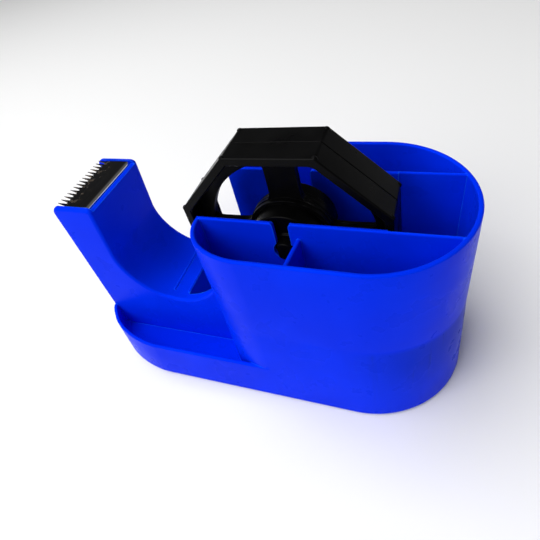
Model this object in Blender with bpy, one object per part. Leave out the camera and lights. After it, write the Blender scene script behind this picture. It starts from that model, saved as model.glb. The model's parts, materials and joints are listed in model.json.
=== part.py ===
"""Desktop tape dispenser: a one-piece moulded body with a cutting blade, pen pods, side trays and a lift-out hub.

Metres, +Z up. -X is the cutting end, +X the rear, and Y runs across. The origin is on the surface that the
dispenser stands on, at the middle of its length and width. Shapes of the body are measured from the hub's axis,
so every body object stands at x = HUB_X.
"""

import math

import bmesh
import bpy
from mathutils import Matrix, Vector

# Overall sizes, from the hub's axis and from the standing surface
FRONT_REACH = 0.0920  # hub axis to the face of the arm
REAR_REACH = 0.0589  # hub axis to the rear of the rim
HUB_X = (FRONT_REACH - REAR_REACH) / 2
RIM_Z = 0.0792  # top of the pods and of both inner walls
CREASE_Z = RIM_Z - 0.0380  # parting line, where the two drafts meet
FOOT_DROP = 0.0008  # the feet reach this far below the body
CLEAR = 0.0003  # gap between pieces that touch
RUNNING = 0.0001  # radial gap between the spindle and the drum that turns on it
PAST = 0.001  # a cutter reaches this far past the face that it opens

# Body shell
WALL = 0.0016
FLOOR_WALL = 0.0022
BASE_HALF, CREASE_HALF, RIM_HALF = 0.0341, 0.0326, 0.0327
BASE_REAR, CREASE_REAR = 0.0580, 0.0579
BASE_ROUND, CREASE_ROUND, RIM_ROUND = 0.0357, 0.0360, 0.0320  # length of the rounded rear
POD_FRONT = 0.0303  # hub axis to the front of the pods
POD_CORNER_X, POD_CORNER_Y = 0.0223, 0.0167
POD_FLOOR_Z = 0.0120
DIVIDER_X = 0.0054  # middle of the divider, behind the hub axis
DIVIDER_WALL = 0.0015
DIVIDER_Z = RIM_Z - 0.0047
INNER_WALL_OUT = 0.0150  # pod side of each inner wall
INNER_WALL_IN = 0.0135  # roll side of each inner wall
REAR_STEP_X = 0.0331  # behind this the inner walls are thinner
REAR_STEP = 0.0004

# Arm, cradle and trays
ARM_HALF = 0.0170
CHEEK_Z = RIM_Z + 0.0012
LEDGE_X, LEDGE_Z = FRONT_REACH - 0.0186, CHEEK_Z - 0.0024
CRADLE_R = 0.0225
CRADLE_X, CRADLE_Z = LEDGE_X + 0.0016 - CRADLE_R, LEDGE_Z - CRADLE_R
LEDGE_RISE = 0.0018  # run of the rounded step from the ledge up to the cheeks
ARM_OVERLAP = 0.010  # the arm runs this far into the pods
WELL_FILLET = 0.0020
CHEEK_ROUND = 0.0028
WELL_EDGE_X = CRADLE_X - 0.0031
WELL_FOOT_X = CRADLE_X - 0.0110
RIDGE_X = CRADLE_X + 0.0045
RIDGE_R = 0.0006
TRAY_CORNER_X, TRAY_CORNER_Y = 0.0310, 0.0163
TRAY_CORNER_POWER = 1.7
TRAY_RIM_Z = 0.0200
TRAY_FLOOR_Z = 0.0085
TRAY_SETBACK = 0.0004  # the tray's front stands behind the arm's face

# Blade
BLADE_WALL = 0.0006
BLADE_TOP_Z = CHEEK_Z - CLEAR
BLADE_HALF = ARM_HALF - 0.0022
BLADE_BACK = LEDGE_X + 0.0022  # hub axis to its lip
BLADE_ROOT, BLADE_TIP = FRONT_REACH - 0.0053, FRONT_REACH - 0.0018  # hub axis to the tooth roots and tips
BLADE_LIP = 0.0036
TOOTH_COUNT = 15
TOOTH_FILL = 0.72  # share of the pitch that a tooth's root takes
TIP_DROP = 0.0005
TIP_THIN = 0.3  # thickness of a tip, as a share of the strip
TOOTH_INSET = 0.05  # a tooth's root is this share thinner than the strip on each side
RECESS_DEPTH = 0.0042  # the face between the cheeks stands back under the teeth
RECESS_Z = CHEEK_Z - 0.0164
RECESS_SLOPE = 0.0060  # height of the slope from the arm's face to the recess
HEAD_ROOF = 0.0084  # cheek top to the hollow under the blade

# Hub: a small drum for 25 mm cores in an eight-sided adapter for 76 mm cores
HUB_Y = -0.0041  # the hub hangs against the near wall
HUB_Z = RIM_Z - 0.0120
SPINDLE_R = 0.0037
SPINDLE_FLATS = SPINDLE_R * 1.27
SPINDLE_HALF = INNER_WALL_OUT + 0.0008
SLOT_WIDTH = SPINDLE_FLATS + 0.0005
SLOT_LEAD = 0.0012
SEAT_R = SPINDLE_R + CLEAR
DRUM_R = 0.0134
DRUM_HALF = 0.0091
DRUM_WALL = 0.0016
DRUM_RECESS = 0.0010
DRUM_BORE_R = SPINDLE_R + RUNNING
DRUM_SLEEVE_R = DRUM_BORE_R + DRUM_WALL
ADAPTER_SIDES = 8
ADAPTER_TURN = 1.0  # degrees that the adapter has turned from level
ADAPTER_R = 0.0380  # over the corners
ADAPTER_HALF = 0.0087
ADAPTER_WALL = 0.0028
ADAPTER_BORE_R = DRUM_R + CLEAR
COLLAR_WALL = 0.0013
COLLAR_R = ADAPTER_BORE_R + COLLAR_WALL
COLLAR_LENGTH = 0.0030
WEB_WALL = 0.0012
WINDOW_R = 0.0292
WINDOW_ROUND = 0.0034
UPRIGHT_SPOKE_HALF, LEVEL_SPOKE_HALF = 0.0053, 0.0038
NIB_SIZE = 0.0016

# Base, ballast, screws and feet
BASE_WALL = 0.0017
PLATE_Z = FOOT_DROP + CLEAR
PLATE_TOP = PLATE_Z + BASE_WALL
SCREW_R = 0.0013
SCREW_HEAD_R = 0.0027
SCREW_HEAD_H = 0.0013
SCREW_LENGTH = 0.0070
POST_R = 0.0035
POST_TOP = 0.0140
FOOT_R = 0.0050
FOOT_H = 0.0015
MIDDLE_SCREW = (-0.0140, 0.0262)
REAR_SCREW = (0.0465, 0.0120)
FRONT_SCREW = (0.0120 - FRONT_REACH, ARM_HALF - 0.0050)
FRONT_FOOT = (0.0280 - FRONT_REACH, 0.0225)
REAR_FOOT = (0.0350, 0.0222)
BALLAST_GAP = 0.0008
BALLAST_SLAB = 0.0028  # thickness of the wide slab over the base plate

BODY_PLACE = (HUB_X, 0, 0)
HUB_PLACE = (HUB_X, HUB_Y, HUB_Z)

for old in list(bpy.data.objects):
    bpy.data.objects.remove(old, do_unlink=True)

PARTS = bpy.data.collections.new("tape_dispenser")
CUTTERS = bpy.data.collections.new("cutters")
for collection in (PARTS, CUTTERS):
    bpy.context.scene.collection.children.link(collection)


def material(name, color, roughness, metallic=0.0):
    made = bpy.data.materials.new(name)
    made.use_nodes = True
    shader = made.node_tree.nodes["Principled BSDF"]
    shader.inputs["Base Color"].default_value = (*color, 1)
    shader.inputs["Roughness"].default_value = roughness
    shader.inputs["Metallic"].default_value = metallic
    return made


BLUE_PLASTIC = material("blue_plastic", (0.010, 0.050, 0.620), 0.32)
BLACK_PLASTIC = material("black_plastic", (0.012, 0.012, 0.013), 0.38)
BLADE_STEEL = material("blade_steel", (0.55, 0.55, 0.56), 0.18, 1.0)
BALLAST_STEEL = material("ballast_steel", (0.30, 0.29, 0.28), 0.55, 1.0)
SCREW_STEEL = material("screw_steel", (0.48, 0.48, 0.50), 0.30, 1.0)
FOOT_RUBBER = material("foot_rubber", (0.030, 0.030, 0.032), 0.85)


# Building blocks

def finish(name, bm, place, look=None):
    """Turns a bmesh into an object: a part when it has a look, or a cutter."""
    bmesh.ops.recalc_face_normals(bm, faces=bm.faces)
    mesh = bpy.data.meshes.new(name)
    bm.to_mesh(mesh)
    bm.free()
    made = bpy.data.objects.new(name, mesh)
    made.location = place
    if look:
        mesh.materials.append(look)
        PARTS.objects.link(made)
        mesh.shade_smooth()
        mesh.set_sharp_from_angle(angle=math.radians(30))
    else:
        CUTTERS.objects.link(made)
        made.hide_render = True
        made.display_type = "WIRE"
    return made


def boolean(target, tool, operation="DIFFERENCE"):
    step = target.modifiers.new(f"{operation.lower()}_{tool.name}", "BOOLEAN")
    step.operation = operation
    step.object = tool
    step.solver = "EXACT"


def loft(levels):
    """A closed solid through outlines of one point count, each given with its height, lowest first."""
    bm = bmesh.new()
    rows = [[bm.verts.new((x, y, z)) for x, y in outline] for z, outline in levels]
    count = len(rows[0])
    for low, high in zip(rows, rows[1:]):
        for k in range(count):
            after = (k + 1) % count
            bm.faces.new((low[k], low[after], high[after], high[k]))
    bm.faces.new(rows[0][::-1])
    bm.faces.new(rows[-1])
    return bm


def prism(profile, y_low, y_high):
    """A side profile of (x, z) points carried across from y_low to y_high."""
    bm = bmesh.new()
    face = bm.faces.new([bm.verts.new((x, y_low, z)) for x, z in profile])
    grown = bmesh.ops.extrude_face_region(bm, geom=[face])["geom"]
    moved = [item for item in grown if isinstance(item, bmesh.types.BMVert)]
    bmesh.ops.translate(bm, verts=moved, vec=(0, y_high - y_low, 0))
    return bm


def box(low, high):
    bm = bmesh.new()
    bmesh.ops.create_cube(bm, size=1)
    size = Vector(high) - Vector(low)
    middle = (Vector(high) + Vector(low)) / 2
    bmesh.ops.transform(bm, matrix=Matrix.Translation(middle) @ Matrix.Diagonal((*size, 1)), verts=bm.verts)
    return bm


def rod(radius, start, end, sides=32, end_radius=None):
    """A round bar or cone between two points."""
    start, end = Vector(start), Vector(end)
    span = end - start
    bm = bmesh.new()
    bmesh.ops.create_cone(
        bm, cap_ends=True, segments=sides, depth=span.length,
        radius1=radius, radius2=radius if end_radius is None else end_radius,
    )
    turn = Vector((0, 0, 1)).rotation_difference(span).to_matrix().to_4x4()
    bmesh.ops.transform(bm, matrix=Matrix.Translation((start + end) / 2) @ turn, verts=bm.verts)
    return bm


def keep(bm, point, normal):
    """Cuts a convex solid at a plane, keeps the side that the normal points to and closes it."""
    cut = bmesh.ops.bisect_plane(
        bm, geom=[*bm.verts, *bm.edges, *bm.faces], plane_co=point, plane_no=normal, clear_inner=True
    )
    edges = [item for item in cut["geom_cut"] if isinstance(item, bmesh.types.BMEdge)]
    bmesh.ops.contextual_create(bm, geom=edges)
    return bm


def arc(centre_x, centre_z, radius, start, end, count):
    """Points of a circle in the side view, with angles in degrees from +X towards +Z."""
    angles = [math.radians(start + (end - start) * k / (count - 1)) for k in range(count)]
    return [(centre_x + radius * math.cos(a), centre_z + radius * math.sin(a)) for a in angles]


def quarter(centre, reach_x, reach_y, start, count, power=2.0):
    """A quarter of a rounded corner, counter-clockwise from start degrees."""
    points = []
    for k in range(count):
        angle = math.radians(start + 90 * k / (count - 1))
        x, y = math.cos(angle), math.sin(angle)
        points.append((
            centre[0] + reach_x * math.copysign(abs(x) ** (2 / power), x),
            centre[1] + reach_y * math.copysign(abs(y) ** (2 / power), y),
        ))
    return points


# Body outlines

def side_values(z):
    """Half width, rear reach and rear rounding of the body at a height."""
    if z <= CREASE_Z:
        share = max(z, 0) / CREASE_Z
        ends = (BASE_HALF, CREASE_HALF), (BASE_REAR, CREASE_REAR), (BASE_ROUND, CREASE_ROUND)
    else:
        share = (z - CREASE_Z) / (RIM_Z - CREASE_Z)
        ends = (CREASE_HALF, RIM_HALF), (CREASE_REAR, REAR_REACH), (CREASE_ROUND, RIM_ROUND)
    return [low + (high - low) * share for low, high in ends]


def outline(z, front, corner_x, corner_y, power, inset):
    """The body's plan at a height, made smaller all round by inset."""
    half, rear, rounded = side_values(z)
    half, rear, rounded = half - inset, rear - inset, rounded - inset
    corner_x, corner_y, front = corner_x - inset, corner_y - inset, front - inset
    side = quarter((rear - rounded, 0), rounded, half, 0, 25)
    side += quarter((corner_x - front, half - corner_y), corner_x, corner_y, 90, 13, power)
    return side + [(x, -y) for x, y in side[:0:-1]]


def pod_outline(z, inset=0.0):
    return outline(z, POD_FRONT, POD_CORNER_X, POD_CORNER_Y, 2.0, inset)


def tray_outline(z, inset=0.0):
    return outline(z, FRONT_REACH - TRAY_SETBACK, TRAY_CORNER_X, TRAY_CORNER_Y, TRAY_CORNER_POWER, inset)


def pod_block(low, high, inset=0.0):
    heights = [low] + ([CREASE_Z] if low < CREASE_Z < high else []) + [high]
    return loft([(z, pod_outline(z, inset)) for z in heights])


def base_block(low, high, inset=0.0):
    """The whole footprint of the body between two heights."""
    return loft([(z, tray_outline(z, inset)) for z in (low, high)])


def tray_block(low, high, inset=0.0):
    """The part of the footprint ahead of the pods' straight sides."""
    return keep(base_block(low, high, inset), (-POD_FRONT + POD_CORNER_X - PAST, 0, 0), (-1, 0, 0))


# Body shell

def arm_profile():
    """Side view of the arm and the cradle: face, top, concave back and the sweep up to the pods."""
    front, back, top = -FRONT_REACH, -LEDGE_X - LEDGE_RISE, CHEEK_Z
    inside = -POD_FRONT + ARM_OVERLAP
    profile = [(front, FOOT_DROP), (inside, FOOT_DROP), (inside, CRADLE_Z)]
    profile += arc(-CRADLE_X, CRADLE_Z, CRADLE_R, 0, -180, 30)
    profile += [(-LEDGE_X, LEDGE_Z)]
    profile += arc(back - BLADE_WALL, top - CHEEK_ROUND, CHEEK_ROUND, 30, 90, 6)
    profile += arc(front + CHEEK_ROUND, top - CHEEK_ROUND, CHEEK_ROUND, 90, 180, 7)
    return profile


def hollow_profile():
    """Side view of the space inside the arm, from below the body."""
    wall = FLOOR_WALL
    front = -FRONT_REACH + wall
    recessed = front + RECESS_DEPTH
    profile = [(front, -PAST), (-WELL_FOOT_X - wall, -PAST), (-WELL_FOOT_X - wall, POD_FLOOR_Z - wall)]
    profile += arc(-CRADLE_X, CRADLE_Z, CRADLE_R + wall, -88, -180, 16)
    roof = CHEEK_Z - HEAD_ROOF
    profile += [(-LEDGE_X - wall - WALL, roof), (recessed, roof), (recessed, RECESS_Z)]
    profile += [(front, RECESS_Z - RECESS_SLOPE)]
    return profile


def well_profile():
    """Side view of the space that the roll hangs in, ahead of the hub axis."""
    top = RIM_Z + ARM_OVERLAP
    return [
        (-WELL_EDGE_X, top), (-WELL_EDGE_X, CRADLE_Z - CRADLE_R), (-WELL_FOOT_X, POD_FLOOR_Z + WELL_FILLET),
        (-WELL_FOOT_X + WELL_FILLET, POD_FLOOR_Z), (PAST, POD_FLOOR_Z), (PAST, top),
    ]


def add_trays(shell):
    for side in (-1, 1):
        pocket = tray_block(TRAY_FLOOR_Z, TRAY_RIM_Z + ARM_OVERLAP, WALL)
        keep(pocket, (0, side * ARM_HALF, 0), (0, side, 0))
        boolean(shell, finish(f"tray_pocket_{side}", pocket, BODY_PLACE))


def add_pods(shell):
    boolean(shell, finish("pod_block", pod_block(FOOT_DROP, RIM_Z), BODY_PLACE), "UNION")
    boolean(shell, finish("arm_block", prism(arm_profile(), -ARM_HALF, ARM_HALF), BODY_PLACE), "UNION")
    for side in (-1, 1):
        hollow = pod_block(POD_FLOOR_Z, RIM_Z + PAST, WALL)
        keep(hollow, (0, side * INNER_WALL_OUT, 0), (0, side, 0))
        boolean(shell, finish(f"pod_hollow_{side}", hollow, BODY_PLACE))
        divider = pod_block(POD_FLOOR_Z - PAST, DIVIDER_Z, WALL / 2)
        keep(divider, (0, side * (INNER_WALL_OUT - WALL / 3), 0), (0, side, 0))
        keep(divider, (DIVIDER_X - DIVIDER_WALL / 2, 0, 0), (1, 0, 0))
        keep(divider, (DIVIDER_X + DIVIDER_WALL / 2, 0, 0), (-1, 0, 0))
        boolean(shell, finish(f"pod_divider_{side}", divider, BODY_PLACE), "UNION")


def add_well(shell):
    boolean(shell, finish("well_front", prism(well_profile(), -INNER_WALL_IN, INNER_WALL_IN), BODY_PLACE))
    for name, start, half in (("well_rear", 0, INNER_WALL_IN), ("well_step", REAR_STEP_X, INNER_WALL_IN + REAR_STEP)):
        space = pod_block(POD_FLOOR_Z, RIM_Z + PAST, WALL)
        keep(space, (start, 0, 0), (1, 0, 0))
        for side in (-1, 1):
            keep(space, (0, side * half, 0), (0, -side, 0))
        boolean(shell, finish(name, space, BODY_PLACE))
    for name, x in (("ridge_front", RIDGE_X), ("ridge_rear", WELL_EDGE_X + RIDGE_R)):
        z = CRADLE_Z - math.sqrt(CRADLE_R**2 - (CRADLE_X - x) ** 2) - RIDGE_R / 3
        reach = INNER_WALL_IN - WALL / 2
        bead = rod(RIDGE_R, (-x, -reach, z), (-x, reach, z), 12)
        boolean(shell, finish(name, bead, BODY_PLACE), "UNION")


def add_slots(shell):
    half, lead = SLOT_WIDTH / 2, SLOT_LEAD
    top = RIM_Z + PAST
    slot = [
        (-half, HUB_Z), (half, HUB_Z), (half, RIM_Z - lead), (half + lead * 2, top),
        (-half - lead * 2, top), (-half, RIM_Z - lead),
    ]
    reach = INNER_WALL_OUT + PAST
    for side in (-1, 1):
        ends = sorted((side * (INNER_WALL_IN - PAST), side * reach))
        boolean(shell, finish(f"axle_slot_{side}", prism(slot, *ends), BODY_PLACE))
        seat = rod(SEAT_R, (0, ends[0], HUB_Z), (0, ends[1], HUB_Z), 36)
        boolean(shell, finish(f"axle_seat_{side}", seat, BODY_PLACE))


def add_head(shell):
    half = BLADE_HALF + CLEAR
    seat_z = BLADE_TOP_Z - BLADE_WALL - CLEAR
    back = -BLADE_BACK + CLEAR
    groove = back - BLADE_WALL - 2 * CLEAR
    recessed = -FRONT_REACH + RECESS_DEPTH
    ahead, behind, above = -FRONT_REACH - PAST, -LEDGE_X + PAST, CHEEK_Z + PAST
    seat = prism(
        [
            (ahead, RECESS_Z), (-FRONT_REACH, RECESS_Z), (recessed, RECESS_Z + RECESS_SLOPE), (recessed, seat_z),
            (groove, seat_z), (groove, seat_z - BLADE_LIP), (back, seat_z - BLADE_LIP), (back, seat_z - CLEAR),
            (behind, seat_z - 2 * CLEAR), (behind, above), (ahead, above),
        ],
        -half, half,
    )
    boolean(shell, finish("blade_seat", seat, BODY_PLACE))


def screw_places():
    return [(x, side * y) for x, y in (FRONT_SCREW, MIDDLE_SCREW, REAR_SCREW) for side in (-1, 1)]


def foot_places():
    return [(x, side * y) for x, y in (FRONT_FOOT, REAR_FOOT) for side in (-1, 1)]


def add_underside(shell):
    wall = FLOOR_WALL
    low = tray_block(-PAST, TRAY_FLOOR_Z - wall, wall)
    high = pod_block(-PAST, POD_FLOOR_Z - wall, wall)
    arm = prism(hollow_profile(), -ARM_HALF + wall, ARM_HALF - wall)
    for name, cavity in (("underside_low", low), ("underside_high", high), ("underside_arm", arm)):
        boolean(shell, finish(name, cavity, BODY_PLACE))
    for k, (x, y) in enumerate(screw_places()):
        top = POST_TOP if x == FRONT_SCREW[0] else POD_FLOOR_Z - wall / 2
        post = rod(POST_R, (x, y, PLATE_TOP + CLEAR), (x, y, top), 24)
        boolean(shell, finish(f"post_{k}", post, BODY_PLACE), "UNION")
        pilot = rod(SCREW_R + CLEAR, (x, y, 0), (x, y, PLATE_Z + SCREW_LENGTH + CLEAR), 16)
        boolean(shell, finish(f"pilot_{k}", pilot, BODY_PLACE))


def make_body_shell():
    shell = finish("body_shell", tray_block(FOOT_DROP, TRAY_RIM_Z), BODY_PLACE, BLUE_PLASTIC)
    add_trays(shell)
    add_pods(shell)
    add_well(shell)
    add_slots(shell)
    add_head(shell)
    add_underside(shell)


# Blade

def make_blade():
    """A stamped strip: teeth at the front edge, a flat top and a lip turned down at the back."""
    pitch = 2 * BLADE_HALF / TOOTH_COUNT
    top = BLADE_TOP_Z
    bm = box((-BLADE_ROOT, -BLADE_HALF, top - BLADE_WALL), (-BLADE_BACK, BLADE_HALF, top))
    strip = finish("blade", bm, BODY_PLACE, BLADE_STEEL)
    lip = box(
        (-BLADE_BACK - BLADE_WALL, -BLADE_HALF, top - BLADE_WALL - BLADE_LIP + 2 * CLEAR),
        (-BLADE_BACK, BLADE_HALF, top - BLADE_WALL / 2),
    )
    boolean(strip, finish("blade_lip", lip, BODY_PLACE), "UNION")
    teeth = bmesh.new()
    root_x = -BLADE_ROOT + BLADE_WALL
    for k in range(TOOTH_COUNT):
        y = -BLADE_HALF + pitch * (k + 0.5)
        half = pitch * TOOTH_FILL / 2
        rows = []
        for depth in (1 - TOOTH_INSET, TOOTH_INSET):
            z = top - BLADE_WALL * depth
            row = [teeth.verts.new((root_x, y - half, z)), teeth.verts.new((root_x, y + half, z))]
            row.append(teeth.verts.new((-BLADE_TIP, y, top - TIP_DROP - BLADE_WALL * depth * TIP_THIN)))
            rows.append(row)
        low, high = rows
        teeth.faces.new(low[::-1])
        teeth.faces.new(high)
        for a in range(3):
            b = (a + 1) % 3
            teeth.faces.new((low[a], low[b], high[b], high[a]))
    boolean(strip, finish("blade_teeth", teeth, BODY_PLACE), "UNION")


# Hub

def make_spindle():
    pin = rod(SPINDLE_R, (0, -SPINDLE_HALF - HUB_Y, 0), (0, SPINDLE_HALF - HUB_Y, 0), 36)
    spindle = finish("spindle", pin, HUB_PLACE, BLACK_PLASTIC)
    for side in (-1, 1):
        for face in (-1, 1):
            near_y = side * (INNER_WALL_IN - CLEAR) - HUB_Y
            far_y = side * (SPINDLE_HALF + PAST) - HUB_Y
            low_y, high_y = sorted((near_y, far_y))
            near_x, far_x = sorted((face * SPINDLE_FLATS / 2, face * SPINDLE_R * 1.5))
            flat = box((near_x, low_y, -SPINDLE_R * 1.5), (far_x, high_y, SPINDLE_R * 1.5))
            boolean(spindle, finish(f"spindle_flat_{side}_{face}", flat, HUB_PLACE))


def make_drum(name, side):
    inner, end = side * CLEAR / 2, side * DRUM_HALF
    drum = finish(name, rod(DRUM_R, (0, inner, 0), (0, end, 0), 48), HUB_PLACE, BLACK_PLASTIC)
    web_out, web_in = end - side * DRUM_RECESS, end - side * (DRUM_RECESS + DRUM_WALL)
    recess = rod(DRUM_R - DRUM_WALL, (0, web_out, 0), (0, end + side * PAST, 0), 48)
    boolean(drum, finish(f"{name}_recess", recess, HUB_PLACE))
    inside = rod(DRUM_R - DRUM_WALL, (0, inner - side * PAST, 0), (0, web_in, 0), 48)
    boolean(drum, finish(f"{name}_inside", inside, HUB_PLACE))
    sleeve = rod(DRUM_SLEEVE_R, (0, inner, 0), (0, end - side * CLEAR, 0), 32)
    boolean(drum, finish(f"{name}_sleeve", sleeve, HUB_PLACE), "UNION")
    bore = rod(DRUM_BORE_R, (0, inner - side * PAST, 0), (0, end + side * PAST, 0), 36)
    boolean(drum, finish(f"{name}_bore", bore, HUB_PLACE))


def octagon(radius, y_low, y_high):
    bm = rod(radius, (0, y_low, 0), (0, y_high, 0), ADAPTER_SIDES)
    turn = Matrix.Rotation(math.pi / ADAPTER_SIDES - math.radians(ADAPTER_TURN), 4, "Y")
    bmesh.ops.transform(bm, matrix=turn, verts=bm.verts)
    return bm


def turn_at(half_width, radius):
    """The turn in degrees at which a spoke's edge meets a circle."""
    return math.degrees(math.asin(half_width / radius))


def window(sector, y_low, y_high):
    """One of the four openings in the web: a quarter ring between two spokes."""
    inner, outer = COLLAR_R + CLEAR, WINDOW_R
    first, last = (LEVEL_SPOKE_HALF, UPRIGHT_SPOKE_HALF)[:: -1 if sector % 2 else 1]
    points = arc(0, 0, outer, turn_at(first, outer), 90 - turn_at(last, outer), 12)
    points += arc(0, 0, inner, 90 - turn_at(last, inner), turn_at(first, inner), 6)
    bm = prism(points, y_low, y_high)
    upright = [edge for edge in bm.edges if abs(edge.verts[0].co.y - edge.verts[1].co.y) > 0.5 * (y_high - y_low)]
    sharp = [edge for edge in upright if edge.calc_face_angle(0) > math.radians(40)]
    bmesh.ops.bevel(bm, geom=sharp, offset=WINDOW_ROUND, segments=4, profile=0.5, affect="EDGES")
    turn = math.radians(90 * sector - ADAPTER_TURN)
    bmesh.ops.transform(bm, matrix=Matrix.Rotation(turn, 4, "Y"), verts=bm.verts)
    return bm


def make_adapter(name, side):
    joint, end = side * CLEAR / 2, side * ADAPTER_HALF
    adapter = finish(name, octagon(ADAPTER_R, *sorted((joint, end))), HUB_PLACE, BLACK_PLASTIC)
    web = side * (CLEAR / 2 + WEB_WALL)
    rim_inner = ADAPTER_R - ADAPTER_WALL / math.cos(math.pi / ADAPTER_SIDES)
    hollow = octagon(rim_inner, *sorted((web, end + side * PAST)))
    boolean(adapter, finish(f"{name}_hollow", hollow, HUB_PLACE))
    collar = rod(COLLAR_R, (0, joint, 0), (0, joint + side * COLLAR_LENGTH, 0), 48)
    boolean(adapter, finish(f"{name}_collar", collar, HUB_PLACE), "UNION")
    bore = rod(ADAPTER_BORE_R, (0, joint - side * PAST, 0), (0, end + side * PAST, 0), 48)
    boolean(adapter, finish(f"{name}_bore", bore, HUB_PLACE))
    for sector in range(4):
        opening = window(sector, *sorted((joint - side * PAST, joint + side * COLLAR_LENGTH * 2)))
        boolean(adapter, finish(f"{name}_window_{sector}", opening, HUB_PLACE))
    for k in range(ADAPTER_SIDES):
        angle = math.radians(22.5 + 45 * k - ADAPTER_TURN)
        nib = box(
            (ADAPTER_R - NIB_SIZE, -NIB_SIZE / 2, -NIB_SIZE * 0.7),
            (ADAPTER_R + NIB_SIZE * 0.2, NIB_SIZE / 2, NIB_SIZE * 0.7),
        )
        place = Matrix.Translation((0, end - side * NIB_SIZE * 0.55, 0)) @ Matrix.Rotation(angle, 4, "Y")
        bmesh.ops.transform(nib, matrix=place, verts=nib.verts)
        boolean(adapter, finish(f"{name}_nib_{k}", nib, HUB_PLACE), "UNION")


# Underside

def make_base_plate():
    plate = finish(
        "base_plate", base_block(PLATE_Z, PLATE_TOP, FLOOR_WALL + CLEAR), BODY_PLACE, BLACK_PLASTIC
    )
    for k, (x, y) in enumerate(foot_places()):
        recess = rod(FOOT_R + CLEAR, (x, y, 0), (x, y, FOOT_H + CLEAR), 28)
        boolean(plate, finish(f"foot_recess_{k}", recess, BODY_PLACE))
    for k, (x, y) in enumerate(screw_places()):
        hole = rod(SCREW_R + CLEAR, (x, y, 0), (x, y, PLATE_TOP + PAST), 16)
        boolean(plate, finish(f"screw_hole_{k}", hole, BODY_PLACE))
        low, high = (x, y, PLATE_Z - PAST / 10), (x, y, PLATE_Z + SCREW_HEAD_H)
        sink = rod(SCREW_HEAD_R + CLEAR, low, high, 20, SCREW_R + CLEAR)
        boolean(plate, finish(f"screw_sink_{k}", sink, BODY_PLACE))


def make_screws():
    for k, (x, y) in enumerate(screw_places()):
        place = (HUB_X + x, y, PLATE_Z)
        screw = finish(f"base_screw_{k + 1}", rod(SCREW_HEAD_R, (0, 0, 0), (0, 0, SCREW_HEAD_H), 20, SCREW_R),
                       place, SCREW_STEEL)
        shank = rod(SCREW_R, (0, 0, SCREW_HEAD_H / 2), (0, 0, SCREW_LENGTH), 16)
        boolean(screw, finish(f"screw_shank_{k + 1}", shank, place), "UNION")


def make_feet():
    for k, (x, y) in enumerate(foot_places()):
        finish(f"foot_{k + 1}", rod(FOOT_R, (0, 0, 0), (0, 0, FOOT_H), 28), (HUB_X + x, y, 0), FOOT_RUBBER)


def make_ballast():
    low = PLATE_TOP + CLEAR
    top = POD_FLOOR_Z - FLOOR_WALL - BALLAST_GAP
    slab = box((-WELL_FOOT_X, -MIDDLE_SCREW[1] + POST_R + BALLAST_GAP, low),
               (REAR_SCREW[0] - POST_R - BALLAST_GAP, MIDDLE_SCREW[1] - POST_R - BALLAST_GAP, low + BALLAST_SLAB))
    pod_part = box((-POD_FRONT + FLOOR_WALL + BALLAST_GAP, -INNER_WALL_OUT, low),
                   (REAR_SCREW[0] - POST_R - BALLAST_GAP, INNER_WALL_OUT, top))
    plate = finish("ballast_plate", slab, BODY_PLACE, BALLAST_STEEL)
    boolean(plate, finish("ballast_plate_top", pod_part, BODY_PLACE), "UNION")
    half = ARM_HALF - FLOOR_WALL - BALLAST_GAP
    block_top = CRADLE_Z - CRADLE_R - FLOOR_WALL - BALLAST_GAP
    block = box((FRONT_SCREW[0] + POST_R + BALLAST_GAP, -half, low), (-CRADLE_X - BALLAST_GAP, half, block_top))
    finish("ballast_block", block, BODY_PLACE, BALLAST_STEEL)


make_body_shell()
make_blade()
make_spindle()
for side_name, side in (("near", -1), ("far", 1)):
    make_drum(f"drum_half_{side_name}", side)
    make_adapter(f"adapter_half_{side_name}", side)
make_base_plate()
make_screws()
make_feet()
make_ballast()
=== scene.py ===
"""Looks of the desktop tape dispenser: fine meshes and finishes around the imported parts.

Metres, +Z up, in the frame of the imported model. -X is the cutting end, +X the rear, and Y runs across.
Body shapes are drawn from the hub's axis and are moved back by HUB_X when they are finished.
"""

import json
import math

import bmesh
import bpy
from mathutils import Matrix, Vector

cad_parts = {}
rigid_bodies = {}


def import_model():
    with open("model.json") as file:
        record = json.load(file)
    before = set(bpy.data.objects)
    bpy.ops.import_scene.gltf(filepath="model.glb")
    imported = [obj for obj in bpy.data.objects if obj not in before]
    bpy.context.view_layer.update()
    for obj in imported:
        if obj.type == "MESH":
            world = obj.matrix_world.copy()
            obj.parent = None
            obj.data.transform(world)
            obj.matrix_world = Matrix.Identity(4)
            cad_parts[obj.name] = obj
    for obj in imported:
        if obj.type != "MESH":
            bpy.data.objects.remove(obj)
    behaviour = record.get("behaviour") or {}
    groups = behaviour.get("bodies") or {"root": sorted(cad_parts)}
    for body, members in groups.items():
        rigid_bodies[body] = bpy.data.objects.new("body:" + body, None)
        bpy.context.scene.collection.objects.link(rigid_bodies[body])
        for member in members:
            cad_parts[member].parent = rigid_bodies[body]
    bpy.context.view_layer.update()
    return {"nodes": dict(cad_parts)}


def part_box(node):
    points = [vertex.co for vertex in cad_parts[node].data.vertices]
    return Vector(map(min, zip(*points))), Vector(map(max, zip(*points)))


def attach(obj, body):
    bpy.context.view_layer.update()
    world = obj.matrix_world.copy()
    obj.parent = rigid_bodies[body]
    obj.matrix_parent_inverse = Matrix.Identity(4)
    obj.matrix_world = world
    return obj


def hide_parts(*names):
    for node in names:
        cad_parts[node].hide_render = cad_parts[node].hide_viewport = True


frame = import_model()

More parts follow.
